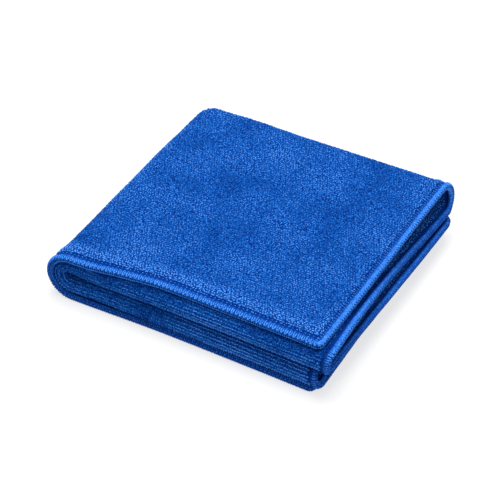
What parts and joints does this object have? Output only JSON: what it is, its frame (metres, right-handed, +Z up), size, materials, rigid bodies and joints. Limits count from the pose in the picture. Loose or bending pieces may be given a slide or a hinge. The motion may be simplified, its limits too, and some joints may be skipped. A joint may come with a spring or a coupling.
{
  "type": "folded microfibre cloth",
  "caption": "Blue terry microfibre cloth with an overlocked hem, folded in thirds and then in half into a flat square pile.",
  "frame": {"origin": "middle of the footprint, on the surface that the folded cloth lies on", "axes": "+Z up; +X from the half fold towards the open edges; +Y from the front, where the hem shows, to the back loops"},
  "size_m": [0.211, 0.1966, 0.0434],
  "materials": {
    "blue_microfibre": "matt looped microfibre pile, royal blue, with a slightly lighter blue overlock thread along the hem"
  },
  "bodies": {
    "root": {"cloth": "blue_microfibre"}
  },
  "joints": []
}
